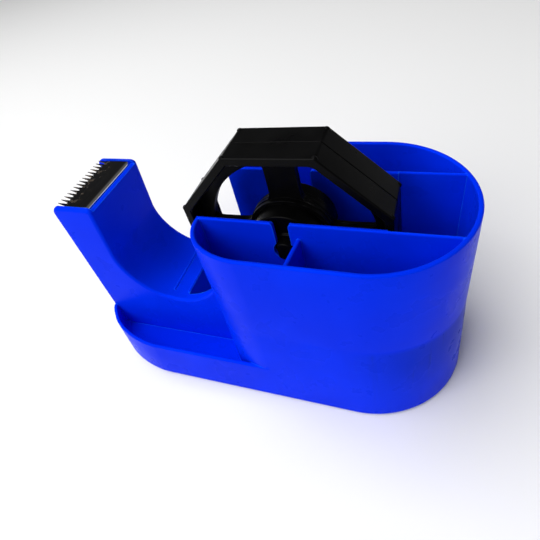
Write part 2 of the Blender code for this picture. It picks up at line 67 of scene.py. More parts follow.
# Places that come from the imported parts
HUB_LOW, HUB_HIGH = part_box("adapter_half_near")
HUB_X = (HUB_LOW[0] + HUB_HIGH[0]) / 2
HUB_Z = (HUB_LOW[2] + HUB_HIGH[2]) / 2
HUB_Y = (HUB_LOW[1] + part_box("adapter_half_far")[1][1]) / 2
FRONT_REACH = HUB_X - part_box("body_shell")[0][0]
REAR_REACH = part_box("body_shell")[1][0] - HUB_X
SHELL_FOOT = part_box("body_shell")[0][2]
BLADE_LOW, BLADE_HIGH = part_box("blade")
BLADE_TOP_Z = BLADE_HIGH[2]

# Body moulding
WALL = 0.0016
FLOOR_WALL = 0.0022
RIM_ROUND_R = 0.00068  # rounding along both edges of every rim
RIM_Z = 0.0792
CREASE_Z = 0.0412  # parting line, where the two drafts meet
CREASE_STEP = 0.00016  # the rear stands back this much under the parting line
BASE_HALF, CREASE_HALF, RIM_HALF = 0.0341, 0.0326, 0.0327
BASE_REAR, CREASE_REAR = 0.0580, 0.0579
BASE_ROUND, CREASE_ROUND, RIM_ROUND = 0.0357, 0.0360, 0.0320
BASE_EDGE_R = 0.0009
POD_FRONT = 0.0303
POD_CORNER_X, POD_CORNER_Y = 0.0223, 0.0167
POD_RIDGE_TURN = 140  # degrees round the front corner where a soft upright ridge runs
POD_RIDGE_RISE, POD_RIDGE_FADE = 0.010, 14
POD_FLOOR_Z = 0.0120
POD_FILLET = 0.0018
DIVIDER_X, DIVIDER_WALL = 0.0054, 0.0015
DIVIDER_LOW_Z, DIVIDER_HIGH_Z = 0.0733, 0.0768
INNER_WALL_OUT, INNER_WALL_IN = 0.0150, 0.0135
REAR_STEP_X, REAR_STEP = 0.0331, 0.0004

# Arm, cradle and trays
ARM_HALF = 0.0170
ARM_EDGE_R = 0.0013
CRADLE_X, CRADLE_Z, CRADLE_R = 0.0525, 0.0555, 0.0225
LEDGE_X, LEDGE_Z = 0.0734, 0.0780
LEDGE_RISE = 0.0018
CHEEK_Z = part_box("body_shell")[1][2]
CHEEK_ROUND = 0.0028
WELL_EDGE_X, WELL_FOOT_X = 0.0494, 0.0415
WELL_FILLET = 0.0020
RIDGE_X, RIDGE_R = 0.0570, 0.0006
TRAY_SETBACK = 0.0004
TRAY_CORNER_X, TRAY_CORNER_Y, TRAY_CORNER_POWER = 0.0310, 0.0163, 1.7
TRAY_RIM_Z, TRAY_FLOOR_Z = 0.0200, 0.0085
TRAY_RISE = 0.0022  # the rim climbs this much where it meets the arm
TRAY_RISE_X, TRAY_RISE_HALF = (0.076, 0.0905), 0.0225  # where the climb starts and ends
TRAY_OVERLAP = 0.007  # the tray's space ends this far inside the pods
PLAIN_SIDE_Z = 0.012  # a height between the rounded foot and the rim
TRAY_FILLET = 0.0022
RECESS_DEPTH, RECESS_Z, RECESS_SLOPE = 0.0042, 0.0640, 0.0060
HEAD_ROOF = 0.0084  # cheek top to the hollow under the blade

# Blade
BLADE_WALL, BLADE_LIP = 0.0006, 0.0033
BLADE_HALF = BLADE_HIGH[1]
BLADE_BACK, BLADE_ROOT = HUB_X - BLADE_HIGH[0], 0.0867
BLADE_TIP = HUB_X - BLADE_LOW[0]
BLADE_BEND_R = 0.0011
TOOTH_COUNT = 15
TOOTH_FILL = 0.66
TIP_RISE = 0.0008  # the teeth are bent up this much towards their tips

# Hub
SPINDLE_R, SPINDLE_FLATS = 0.0037, 0.0047
RUNNING = 0.0001  # radial gap between the spindle and the drum
SPINDLE_NEAR, SPINDLE_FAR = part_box("spindle")[0][1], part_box("spindle")[1][1]
SLOT_WIDTH, SLOT_LEAD, SEAT_R = 0.0052, 0.0014, 0.0040
DRUM_R, DRUM_HALF, DRUM_WALL, DRUM_RECESS = 0.0134, 0.0091, 0.0016, 0.0010
ADAPTER_SIDES = 8
ADAPTER_TURN = 1.0  # degrees that the adapter has turned from level
ADAPTER_R, ADAPTER_HALF, ADAPTER_WALL = 0.0380, 0.0087, 0.0028
ADAPTER_BORE_R = DRUM_R + 0.0003
COLLAR_R, COLLAR_LENGTH = ADAPTER_BORE_R + 0.0013, 0.0030
WEB_WALL, WINDOW_R, WINDOW_ROUND = 0.0012, 0.0292, 0.0034
UPRIGHT_SPOKE_HALF, LEVEL_SPOKE_HALF = 0.0053, 0.0038
SEAM = 0.0003  # gap between the two halves of the hub
NIB_R = 0.0009

PAST = 0.001  # a cutter reaches this far past the face that it opens
ARC_STEPS = 6


# Mesh helpers

def rows_solid(rows):
    """A closed solid through rows of points of one count, lowest first."""
    bm = bmesh.new()
    made = [[bm.verts.new(point) for point in row] for row in rows]
    count = len(made[0])
    for low, high in zip(made, made[1:]):
        for k in range(count):
            after = (k + 1) % count
            bm.faces.new((low[k], low[after], high[after], high[k]))
    bm.faces.new(made[0][::-1])
    bm.faces.new(made[-1])
    return bm


def prism(profile, low, high, axis="Y", edge=0.0, steps=4):
    """A flat outline carried along an axis. With edge, the rims of both end faces are rounded."""
    place = {"Y": lambda a, b, t: (a, t, b), "X": lambda a, b, t: (t, a, b)}[axis]
    bm = bmesh.new()
    face = bm.faces.new([bm.verts.new(place(a, b, low)) for a, b in profile])
    grown = bmesh.ops.extrude_face_region(bm, geom=[face])["geom"]
    moved = [item for item in grown if isinstance(item, bmesh.types.BMVert)]
    shift = (0, high - low, 0) if axis == "Y" else (high - low, 0, 0)
    bmesh.ops.translate(bm, verts=moved, vec=shift)
    bmesh.ops.recalc_face_normals(bm, faces=bm.faces)
    if edge:
        t = 1 if axis == "Y" else 0
        rim = [e for e in bm.edges if abs(e.verts[0].co[t] - e.verts[1].co[t]) < 1e-7]
        bmesh.ops.bevel(bm, geom=rim, offset=edge, segments=steps, profile=0.5, affect="EDGES")
    return bm


def box(low, high, edge=0.0, steps=3):
    bm = bmesh.new()
    bmesh.ops.create_cube(bm, size=1)
    size, middle = Vector(high) - Vector(low), (Vector(high) + Vector(low)) / 2
    bmesh.ops.transform(bm, matrix=Matrix.Translation(middle) @ Matrix.Diagonal((*size, 1)), verts=bm.verts)
    if edge:
        bmesh.ops.bevel(bm, geom=bm.edges[:], offset=edge, segments=steps, profile=0.5, affect="EDGES")
    return bm


def lathe(profile, steps=96, axis="Y"):
    """A closed outline of (radius, height) points turned round an axis."""
    bm = bmesh.new()
    rings = []
    for k in range(steps):
        turn = 2 * math.pi * k / steps
        c, s = math.cos(turn), math.sin(turn)
        ring = [(r * c, h, r * s) if axis == "Y" else (r * c, r * s, h) for r, h in profile]
        rings.append([bm.verts.new(point) for point in ring])
    count = len(profile)
    for k in range(steps):
        near, far = rings[k], rings[(k + 1) % steps]
        for j in range(count):
            after = (j + 1) % count
            if profile[j][0] > 0 or profile[after][0] > 0:
                bm.faces.new((near[j], near[after], far[after], far[j]))
    bmesh.ops.remove_doubles(bm, verts=bm.verts, dist=1e-7)
    return bm


def cylinder(radius, start, end, sides=64):
    start, end = Vector(start), Vector(end)
    span = end - start
    bm = bmesh.new()
    bmesh.ops.create_cone(
        bm, cap_ends=True, segments=sides, depth=span.length, radius1=radius, radius2=radius
    )
    turn = Vector((0, 0, 1)).rotation_difference(span).to_matrix().to_4x4()
    bmesh.ops.transform(bm, matrix=Matrix.Translation((start + end) / 2) @ turn, verts=bm.verts)
    return bm


def arc(centre_a, centre_b, radius, start, end, count):
    angles = [math.radians(start + (end - start) * k / (count - 1)) for k in range(count)]
    return [(centre_a + radius * math.cos(t), centre_b + radius * math.sin(t)) for t in angles]


def smooth_share(value, low, high):
    share = min(max((value - low) / (high - low), 0), 1)
    return share * share * (3 - 2 * share)


class Solid:
    """A mesh that is cut and joined step by step and then made a finished piece."""

    def __init__(self, name, bm, place):
        self.name = name
        self.place = place
        self.tools = []
        self.thing = self.put(name, bm)

    def put(self, name, bm):
        bmesh.ops.recalc_face_normals(bm, faces=bm.faces)
        mesh = bpy.data.meshes.new(name)
        bm.to_mesh(mesh)
        bm.free()
        thing = bpy.data.objects.new(name, mesh)
        bpy.context.scene.collection.objects.link(thing)
        return thing

    def step(self, bm, operation):
        tool = self.put(f"{self.name}_tool", bm)
        self.tools.append(tool)
        work = self.thing.modifiers.new("step", "BOOLEAN")
        work.operation = operation
        work.object = tool
        work.solver = "EXACT"

    def cut(self, bm):
        self.step(bm, "DIFFERENCE")

    def join(self, bm):
        self.step(bm, "UNION")

    def done(self, look, sharp=32, bevel=0.0):
        """Applies the steps, moves the mesh into place and gives the piece its finish and its shading."""
        mesh = evaluated_mesh(self.thing)
        for used in (self.thing, *self.tools):
            bpy.data.objects.remove(used, do_unlink=True)
        return finished(self.name, mesh, self.place, look, sharp, bevel)


def evaluated_mesh(thing):
    graph = bpy.context.evaluated_depsgraph_get()
    return bpy.data.meshes.new_from_object(thing.evaluated_get(graph))


def finished(name, mesh, place, look, sharp=32, bevel=0.0):
    mesh.transform(Matrix.Translation(place))
    bm = bmesh.new()
    bm.from_mesh(mesh)
    bmesh.ops.remove_doubles(bm, verts=bm.verts, dist=2e-6)
    bmesh.ops.dissolve_degenerate(bm, edges=bm.edges, dist=2e-6)
    bm.to_mesh(mesh)
    bm.free()
    mesh.name = name
    mesh.materials.clear()
    mesh.materials.append(look)
    piece = bpy.data.objects.new(name, mesh)
    bpy.context.scene.collection.objects.link(piece)
    if bevel:
        edge = piece.modifiers.new("edges", "BEVEL")
        edge.width = bevel
        edge.segments = 2
        edge.limit_method = "ANGLE"
        edge.angle_limit = math.radians(sharp)
        edge.use_clamp_overlap = True
    mesh.shade_smooth()
    mesh.set_sharp_from_angle(angle=math.radians(sharp))
    even = piece.modifiers.new("even_shading", "WEIGHTED_NORMAL")
    even.keep_sharp = True
    plain = evaluated_mesh(piece)
    plain.name = name
    piece.modifiers.clear()
    piece.data = plain
    return piece


# Finishes

class Finish:
    """A Principled material with a few short ways to add patterns, all on Object coordinates."""

    def __init__(self, name, color, roughness, metallic=0.0):
        self.material = bpy.data.materials.new(name)
        self.material.use_nodes = True
        self.tree = self.material.node_tree
        self.shader = self.tree.nodes["Principled BSDF"]
        self.shader.inputs["Metallic"].default_value = metallic
        self.shader.inputs["Roughness"].default_value = roughness
        self.shader.inputs["Base Color"].default_value = (*color, 1)
        self.place = self.tree.nodes.new("ShaderNodeTexCoord").outputs["Object"]

    def node(self, kind, **values):
        made = self.tree.nodes.new(kind)
        for key, value in values.items():
            if hasattr(made, key):
                setattr(made, key, value)
            else:
                made.inputs[key.replace("_", " ")].default_value = value
        return made

    def link(self, source, target):
        self.tree.links.new(source, target)

    def stretched(self, scale, turn=(0, 0, 0)):
        mapping = self.node("ShaderNodeMapping")
        mapping.inputs["Scale"].default_value = scale
        mapping.inputs["Rotation"].default_value = [math.radians(angle) for angle in turn]
        self.link(self.place, mapping.inputs["Vector"])
        return mapping.outputs["Vector"]

    def noise(self, scale, detail=3.0, rough=0.5, where=None):
        made = self.node("ShaderNodeTexNoise", Scale=scale, Detail=detail, Roughness=rough)
        self.link(where or self.place, made.inputs["Vector"])
        return made.outputs["Fac"]

    def ramp(self, source, low, high, first=0.0, last=1.0):
        made = self.node("ShaderNodeMapRange")
        made.interpolation_type = "SMOOTHSTEP"
        for key, value in (("From Min", low), ("From Max", high), ("To Min", first), ("To Max", last)):
            made.inputs[key].default_value = value
        self.link(source, made.inputs["Value"])
        return made.outputs["Result"]

    def times(self, a, b, operation="MULTIPLY"):
        made = self.node("ShaderNodeMath", operation=operation)
        for socket, value in zip(made.inputs, (a, b)):
            if isinstance(value, (int, float)):
                socket.default_value = value
            else:
                self.link(value, socket)
        return made.outputs["Value"]

    def mix(self, share, first, second):
        made = self.node("ShaderNodeMix", data_type="RGBA")
        self.link(share, made.inputs["Factor"])
        for socket, value in ((made.inputs[6], first), (made.inputs[7], second)):
            if isinstance(value, tuple):
                socket.default_value = (*value, 1)
            else:
                self.link(value, socket)
        return made.outputs[2]

    def along(self, axis):
        made = self.node("ShaderNodeSeparateXYZ")
        self.link(self.place, made.inputs["Vector"])
        return made.outputs[axis]

    def edge_mask(self, radius, low, high):
        """1 on convex and concave edges, from the turn of a rounded normal against the real one."""
        soft = self.node("ShaderNodeBevel", samples=6)
        soft.inputs["Radius"].default_value = radius
        plain = self.node("ShaderNodeNewGeometry")
        turn = self.node("ShaderNodeVectorMath", operation="DOT_PRODUCT")
        self.link(soft.outputs["Normal"], turn.inputs[0])
        self.link(plain.outputs["Normal"], turn.inputs[1])
        return self.ramp(turn.outputs["Value"], high, low)

    def color(self, source):
        self.link(source, self.shader.inputs["Base Color"])

    def roughness(self, source):
        self.link(source, self.shader.inputs["Roughness"])

    def bumps(self, *layers):
        """Bump layers of (height source, strength, distance in metres), one over the other."""
        below = None
        for source, strength, distance in layers:
            bump = self.node("ShaderNodeBump", Strength=strength, Distance=distance)
            self.link(source, bump.inputs["Height"])
            if below:
                self.link(below, bump.inputs["Normal"])
            below = bump.outputs["Normal"]
        self.link(below, self.shader.inputs["Normal"])


def blue_moulding():
    """Glossy dyed plastic: fine mould grain and hair scratches, painted shade under the parting line at the
    rear (weaker towards the foot, in faint vertical streaks) and painted highlights along the edges.
    """
    look = Finish("blue_moulded_plastic", (0.0, 0.026, 0.78), 0.30)
    shader = look.shader
    shader.inputs["Specular IOR Level"].default_value = 0.025
    shader.inputs["Metallic"].default_value = 0.06
    shader.inputs["Specular Tint"].default_value = (0.0, 0.30, 1.0, 1)
    cloud = look.ramp(look.noise(28, 3), 0.35, 0.68)
    color = look.mix(cloud, (0.0, 0.024, 0.76), (0.0, 0.029, 0.84))
    # Faint vertical streaks that break up the painted shade at the rear
    shade_streaks = look.ramp(look.noise(1, 4, 0.6, look.stretched((260, 260, 9))), 0.52, 0.75, 0.0, 0.55)
    # Painted shade: the rear under the parting line is darkened towards a deep blue, less so towards the foot
    low_rear = look.times(
        look.ramp(look.along("X"), 0.034, 0.066),
        look.ramp(look.along("Z"), CREASE_Z + 0.0004, CREASE_Z - 0.003),
    )
    high_fade = look.ramp(look.along("Z"), 0.008, 0.034, 0.15, 1.0)
    painted_rear_shade = look.times(look.times(low_rear, high_fade), look.times(shade_streaks, 0.35, "ADD"))
    color = look.mix(painted_rear_shade, color, (0.0, 0.014, 0.10))
    hair = look.noise(1, 2, 0.5, look.stretched((60, 60, 1900), (0, 38, 12)))
    patch = look.ramp(look.noise(42, 2), 0.60, 0.74)
    scratches = look.times(look.ramp(hair, 0.66, 0.72), patch)
    # Painted highlight: edges are lightened to a pale blue in patches; pale also carries the real hair
    # scratches
    edges = look.edge_mask(0.0006, 0.82, 0.98)
    painted_edge_highlight = look.times(edges, look.ramp(look.noise(420, 3), 0.35, 0.75, 0.40, 0.85))
    pale = look.times(look.times(scratches, 0.12), painted_edge_highlight, "MAXIMUM")
    look.color(look.mix(pale, color, (0.015, 0.20, 1.0)))
    satin = look.ramp(look.noise(95, 4), 0.3, 0.7, 0.26, 0.33)
    look.roughness(look.times(satin, look.times(pale, 0.25), "ADD"))
    look.bumps((look.noise(45, 1), 0.04, 0.0006), (look.noise(2600, 2), 0.05, 0.00008), (hair, 0.02, 0.00005))
    return look.material


def black_moulding():
    look = Finish("black_moulded_plastic", (0.0018, 0.0018, 0.0020), 0.34)
    look.shader.inputs["Specular IOR Level"].default_value = 0.05
    cloud = look.ramp(look.noise(60, 3), 0.35, 0.7)
    dust = look.ramp(look.noise(1500, 2), 0.735, 0.80, 0.0, 0.10)
    edges = look.edge_mask(0.0004, 0.78, 0.97)
    rubbed = look.times(edges, look.ramp(look.noise(380, 3), 0.45, 0.8, 0.0, 0.5))
    color = look.mix(cloud, (0.0012, 0.0012, 0.0013), (0.0022, 0.0022, 0.0024))
    color = look.mix(look.times(dust, rubbed, "MAXIMUM"), color, (0.10, 0.10, 0.10))
    look.color(color)
    hair = look.noise(1, 2, 0.5, look.stretched((70, 1500, 70), (20, 0, 35)))
    look.roughness(look.times(look.ramp(look.noise(120, 4), 0.3, 0.7, 0.27, 0.40), rubbed, "ADD"))
    look.bumps((look.noise(85, 2), 0.12, 0.0006), (look.noise(2300, 2), 0.08, 0.00008), (hair, 0.03, 0.00005))
    return look.material


def blade_steel():
    """Rolled strip: mirror-like with long grain, smudges of old adhesive towards the teeth, and a painted
    pale reflection along the bend at the back.
    """
    look = Finish("blade_steel", (0.07, 0.07, 0.075), 0.12, 1.0)
    grain = look.noise(1, 4, 0.65, look.stretched((2600, 60, 2600)))
    tone = look.mix(look.ramp(grain, 0.3, 0.7), (0.055, 0.055, 0.060), (0.085, 0.085, 0.090))
    front = HUB_X - BLADE_ROOT
    toward_teeth = look.ramp(look.along("X"), front + 0.0075, front + 0.0010)
    smudge = look.ramp(look.noise(310, 5, 0.65), 0.50, 0.62)
    residue = look.times(smudge, look.times(toward_teeth, 0.9))
    tone = look.mix(residue, tone, (0.15, 0.11, 0.075))
    # Painted reflection: the bend and the turned-down lip at the back are painted a pale near-white
    bend = look.ramp(look.along("X"), HUB_X - BLADE_BACK - 0.0012, HUB_X - BLADE_BACK - 0.0004)
    tone = look.mix(bend, tone, (0.80, 0.79, 0.77))
    look.color(tone)
    look.roughness(look.times(look.ramp(grain, 0.3, 0.7, 0.07, 0.16), look.times(residue, 0.35), "ADD"))
    look.bumps((grain, 0.05, 0.00005), (residue, 0.35, 0.0001))
    return look.material


def cast_ballast():
    look = Finish("cast_ballast", (0.10, 0.10, 0.10), 0.6, 0.85)
    rust = look.ramp(look.noise(160, 5, 0.6), 0.52, 0.68)
    look.color(look.mix(rust, (0.11, 0.11, 0.11), (0.13, 0.06, 0.03)))
    look.roughness(look.ramp(look.noise(240, 4), 0.3, 0.7, 0.45, 0.75))
    look.bumps((look.noise(700, 5, 0.6), 0.5, 0.0003))
    return look.material


def zinc_screw():
    look = Finish("zinc_screw", (0.45, 0.46, 0.48), 0.25, 1.0)
    spots = look.ramp(look.noise(900, 4), 0.4, 0.7)
    look.color(look.mix(spots, (0.40, 0.41, 0.44), (0.56, 0.56, 0.55)))
    look.roughness(look.ramp(look.noise(1400, 3), 0.3, 0.7, 0.20, 0.42))
    look.bumps((look.noise(2600, 3), 0.15, 0.00006))
    return look.material


def foot_rubber():
    look = Finish("foot_rubber", (0.022, 0.022, 0.024), 0.8)
    dust = look.ramp(look.noise(700, 5, 0.7), 0.52, 0.72, 0.0, 0.35)
    look.color(look.mix(dust, (0.018, 0.018, 0.020), (0.14, 0.135, 0.13)))
    look.roughness(look.ramp(look.noise(500, 3), 0.3, 0.7, 0.68, 0.90))
    look.bumps((look.noise(3200, 3), 0.25, 0.00008))
    return look.material


BLUE = blue_moulding()
BLACK = black_moulding()
STEEL = blade_steel()
BALLAST = cast_ballast()
ZINC = zinc_screw()
RUBBER = foot_rubber()


# Outlines of the body

def side_values(z):
    """Half width, rear reach and rear rounding of the body at a height."""
    if z <= CREASE_Z:
        share = max(z, 0) / CREASE_Z
        ends = (BASE_HALF, CREASE_HALF), (BASE_REAR, CREASE_REAR), (BASE_ROUND, CREASE_ROUND)
    else:
        share = min((z - CREASE_Z) / (RIM_Z - CREASE_Z), 1)
        ends = (CREASE_HALF, RIM_HALF), (CREASE_REAR, REAR_REACH), (CREASE_ROUND, RIM_ROUND)
    return [low + (high - low) * share for low, high in ends]


def ridge(turn):
    return 1 + POD_RIDGE_RISE * math.exp(-abs(turn - POD_RIDGE_TURN) / POD_RIDGE_FADE)


def half_plan(z, front, corner_x, corner_y, power, inset, start=0.0, step=0.0, ridged=False):
    """The +Y half of the body's plan, from the rear round to the front, made smaller all round by inset."""
    half, rear, rounded = (value - inset for value in side_values(z))
    corner_x, corner_y, front = corner_x - inset, corner_y - inset, front - inset
    points = []
    for k in range(49):
        turn = start + (math.pi / 2 - start) * k / 48
        back = step * smooth_share(math.cos(turn), 0.05, 0.5)
        points.append((rear - rounded + (rounded - back) * math.cos(turn), (half - back) * math.sin(turn)))
    for k in range(1, 33):
        degrees = 90 + 90 * k / 32
        c, s = math.cos(math.radians(degrees)), math.sin(math.radians(degrees))
        grow = ridge(degrees) - ridge(180) * (degrees - 90) / 90 - ridge(90) * (180 - degrees) / 90 + 1
        grow = grow if ridged else 1
        points.append((
            corner_x - front - corner_x * grow * abs(c) ** (2 / power),
            half - corner_y + corner_y * grow * s ** (2 / power) if s > 1e-9 else half - corner_y,
        ))
    return points


def mirrored_plan(side):
    return side + [(x, -y) for x, y in side[:0:-1]]


def pod_side(z, inset=0.0, start=0.0, step=0.0):
    return half_plan(z, POD_FRONT, POD_CORNER_X, POD_CORNER_Y, 2.0, inset, start, step, True)


def base_side(z, inset=0.0):
    front = FRONT_REACH - TRAY_SETBACK
    return half_plan(z, front, TRAY_CORNER_X, TRAY_CORNER_Y, TRAY_CORNER_POWER, inset)


def row(plan, z):
    return [(x, y, z) for x, y in plan]


def foot_round():
    """(height, inset) pairs of the rounded bottom edge."""
    for k in range(ARC_STEPS + 1):
        turn = math.pi / 2 * k / ARC_STEPS
        yield SHELL_FOOT + BASE_EDGE_R * (1 - math.sin(turn)), BASE_EDGE_R * (1 - math.cos(turn))


def rim_round():
    """(drop below the rim, inset) pairs of a rounded rim."""
    for k in range(ARC_STEPS + 1):
        turn = math.pi / 2 * k / ARC_STEPS
        yield RIM_ROUND_R * (1 - math.sin(turn)), RIM_ROUND_R * (1 - math.cos(turn))


def pod_solid():
    rows = [row(mirrored_plan(pod_side(z, inset)), z) for z, inset in list(foot_round())[::-1]]
    for z in (0.012, 0.022, 0.032, CREASE_Z - 0.0003):
        rows.append(row(mirrored_plan(pod_side(z, 0, 0, CREASE_STEP * (z > 0.035))), z))
    for z in (CREASE_Z, 0.050, 0.060, 0.070):
        rows.append(row(mirrored_plan(pod_side(z)), z))
    rows += [row(mirrored_plan(pod_side(RIM_Z - drop, inset)), RIM_Z - drop) for drop, inset in rim_round()]
    return rows_solid(rows)


def tray_rim_height(x, y):
    reach = smooth_share(-x, *TRAY_RISE_X) * (1 - smooth_share(abs(y), ARM_HALF, TRAY_RISE_HALF))
    return TRAY_RIM_Z + TRAY_RISE * reach


def tray_side(z, inset, start_x):
    """The +Y side of the low part's plan, from start_x round to the front."""
    side = base_side(z, inset)[48:]
    return [(start_x, side[0][1]), *side[1:]]


def tray_solid():
    """The low part of the body ahead of the pods' straight sides: up outside, over the rim, down inside."""
    outer_x = -POD_FRONT + POD_CORNER_X - PAST
    inner_x = -POD_FRONT + POD_CORNER_X - TRAY_OVERLAP

    def whole(z, inset, start_x):
        side = tray_side(z, inset, start_x)
        return side + [(x, -y) for x, y in side[::-1]]

    def rim(drop, inset, start_x):
        plan, outer = whole(TRAY_RIM_Z, inset, start_x), whole(TRAY_RIM_Z, 0, outer_x)
        return [(x, y, tray_rim_height(*out) - drop) for (x, y), out in zip(plan, outer)]

    rows = [row(whole(z, inset, outer_x), z) for z, inset in list(foot_round())[::-1]]
    rows.append(row(whole(PLAIN_SIDE_Z, 0, outer_x), PLAIN_SIDE_Z))
    rows += [rim(drop, inset, outer_x) for drop, inset in rim_round()]
    rows += [rim(drop, WALL - inset, inner_x) for drop, inset in list(rim_round())[::-1]]
    for k in range(ARC_STEPS, -1, -1):
        turn = math.pi / 2 * k / ARC_STEPS
        z = TRAY_FLOOR_Z + TRAY_FILLET * (1 - math.cos(turn))
        rows.append(row(whole(z, WALL + TRAY_FILLET * (1 - math.sin(turn)), inner_x), z))
    return rows_solid(rows)


def pod_hollow(side):
    """The D-shaped space of a pod: filleted at the floor and flared at the rim."""
    levels = []
    for k in range(ARC_STEPS + 1):
        turn = math.pi / 2 * k / ARC_STEPS
        levels.append((POD_FLOOR_Z + POD_FILLET * (1 - math.cos(turn)), -POD_FILLET * (1 - math.sin(turn))))
    levels += [(z, 0) for z in (0.022, 0.032, CREASE_Z, 0.055, 0.067)]
    levels += [(RIM_Z - drop, inset) for drop, inset in rim_round()]
    levels.append((RIM_Z + PAST, RIM_ROUND_R))
    rows = []
    for z, spread in levels:
        inset, wall_y = WALL - spread, INNER_WALL_OUT - spread
        start = math.asin(wall_y / (side_values(z)[0] - inset))
        plan = pod_side(z, inset, start)
        plan.append((plan[-1][0], wall_y))
        rows.append([(x, side * y, z) for x, y in plan])
    return rows_solid(rows)


def well_rear():
    """The rear of the roll well, behind the step in the inner walls, up to the rounded rear wall."""
    levels = [(POD_FLOOR_Z, 0), (CREASE_Z, 0), (0.060, 0)]
    levels += [(RIM_Z - drop, inset) for drop, inset in rim_round()]
    levels.append((RIM_Z + PAST, RIM_ROUND_R))
    rows = []
    for z, spread in levels:
        body_half, rear, rounded = (value - WALL + spread for value in side_values(z))
        wall_y = INNER_WALL_IN + REAR_STEP + spread
        end = math.asin(wall_y / body_half)
        turns = [-end + 2 * end * k / 24 for k in range(25)]
        plan = [(rear - rounded + rounded * math.cos(t), body_half * math.sin(t)) for t in turns]
        plan += [(REAR_STEP_X, wall_y), (REAR_STEP_X, -wall_y)]
        rows.append(row(plan, z))
    return rows_solid(rows)


def well_front():
    top = RIM_Z + 0.010
    profile = [(-WELL_EDGE_X, top), (-WELL_EDGE_X, CRADLE_Z - CRADLE_R)]
    profile += arc(-WELL_FOOT_X + WELL_FILLET, POD_FLOOR_Z + WELL_FILLET, WELL_FILLET, 200, 270, 6)
    profile += [(PAST, POD_FLOOR_Z), (PAST, top)]
    return prism(profile, -INNER_WALL_IN, INNER_WALL_IN)


def well_middle():
    """The roll well between the straight inner walls, whose top edges it rounds."""
    side = [(INNER_WALL_IN, POD_FLOOR_Z)]
    side += [(INNER_WALL_IN + inset, RIM_Z - drop) for drop, inset in rim_round()]
    side += [(INNER_WALL_IN + RIM_ROUND_R, RIM_Z + PAST)]
    return prism(side + [(-a, b) for a, b in side[::-1]], -POD_FRONT - PAST, REAR_STEP_X + PAST, "X")


def arm_solid():
    front, back, top = -FRONT_REACH, -LEDGE_X - LEDGE_RISE, CHEEK_Z
    inside = -POD_FRONT + 0.010
    profile = [(front + BASE_EDGE_R, SHELL_FOOT), (inside, SHELL_FOOT), (inside, CRADLE_Z)]
    profile += arc(-CRADLE_X, CRADLE_Z, CRADLE_R, 0, -180, 61)
    profile += [(-LEDGE_X, LEDGE_Z)]
    profile += arc(back - BLADE_WALL, top - CHEEK_ROUND, CHEEK_ROUND, 30, 90, 8)
    profile += arc(front + CHEEK_ROUND, top - CHEEK_ROUND, CHEEK_ROUND, 90, 180, 10)
    profile += [(front, SHELL_FOOT + BASE_EDGE_R)]
    return prism(profile, -ARM_HALF, ARM_HALF, "Y", ARM_EDGE_R, 5)


def divider(side):
    outer_low, outer_high = 0.0328, 0.0319
    profile = [
        (INNER_WALL_OUT - WALL / 3, POD_FLOOR_Z - PAST), (outer_low, POD_FLOOR_Z - PAST),
        (outer_high, DIVIDER_HIGH_Z), (INNER_WALL_OUT - WALL / 3, DIVIDER_LOW_Z),
    ]
    profile = [(side * a, b) for a, b in profile]
    low, high = DIVIDER_X - DIVIDER_WALL / 2, DIVIDER_X + DIVIDER_WALL / 2
    return prism(profile, low, high, "X", DIVIDER_WALL * 0.4, 3)


def slot_shape():
    """Side view of an axle slot: rounded mouth, straight neck and a round seat."""
    half, lead, top = SLOT_WIDTH / 2, SLOT_LEAD, RIM_Z + PAST
    right = [(half, HUB_Z)] + arc(half + lead, RIM_Z - lead, lead, 180, 90, 6) + [(half + lead, top)]
    return right + [(-x, z) for x, z in right[::-1]]


def hollow_arm():
    """Side view of the space inside the arm, open below."""
    wall, front = FLOOR_WALL, -FRONT_REACH + FLOOR_WALL
    recessed, roof = front + RECESS_DEPTH, CHEEK_Z - HEAD_ROOF
    profile = [(front, -PAST), (-WELL_FOOT_X - wall, -PAST), (-WELL_FOOT_X - wall, POD_FLOOR_Z - wall)]
    profile += arc(-CRADLE_X, CRADLE_Z, CRADLE_R + wall, -88, -180, 16)
    profile += [(-LEDGE_X - wall - WALL, roof), (recessed, roof), (recessed, RECESS_Z)]
    profile += [(front, RECESS_Z - RECESS_SLOPE)]
    return prism(profile, -ARM_HALF + wall, ARM_HALF - wall)


def blade_seat():
    gap = SEAM
    half = BLADE_HALF + gap
    seat_z = BLADE_TOP_Z - BLADE_WALL - gap
    back = -BLADE_BACK + gap
    groove = back - BLADE_WALL - 2 * gap
    recessed = -FRONT_REACH + RECESS_DEPTH
    ahead, behind, above = -FRONT_REACH - PAST, -LEDGE_X + PAST, CHEEK_Z + PAST
    lip = seat_z - BLADE_LIP - gap
    return prism([
        (ahead, RECESS_Z), (-FRONT_REACH, RECESS_Z), (recessed, RECESS_Z + RECESS_SLOPE), (recessed, seat_z),
        (groove, seat_z), (groove, lip), (back, lip), (back, seat_z - gap), (behind, seat_z - 2 * gap),
        (behind, above), (ahead, above),
    ], -half, half)


def lathe_bead(x, z, reach):
    """A small rounded ridge across the cradle."""
    bead = cylinder(RIDGE_R, (x, -reach, z), (x, reach, z), 20)
    ends = [e for e in bead.edges if abs(e.verts[0].co.y - e.verts[1].co.y) < 1e-7]
    bmesh.ops.bevel(bead, geom=ends, offset=RIDGE_R * 0.7, segments=3, profile=0.5, affect="EDGES")
    return bead


def pod_room():
    """The space under the pods' floor, open below."""
    levels = (-PAST, POD_FLOOR_Z - FLOOR_WALL)
    return rows_solid([row(mirrored_plan(pod_side(z, FLOOR_WALL)), z) for z in levels])


def tray_room():
    """The space under the tray floor, open below."""
    rows = []
    for z in (-PAST, TRAY_FLOOR_Z - FLOOR_WALL):
        side = tray_side(z, FLOOR_WALL, -POD_FRONT + POD_CORNER_X)
        rows.append(row(side + [(x, -y) for x, y in side[::-1]], z))
    return rows_solid(rows)


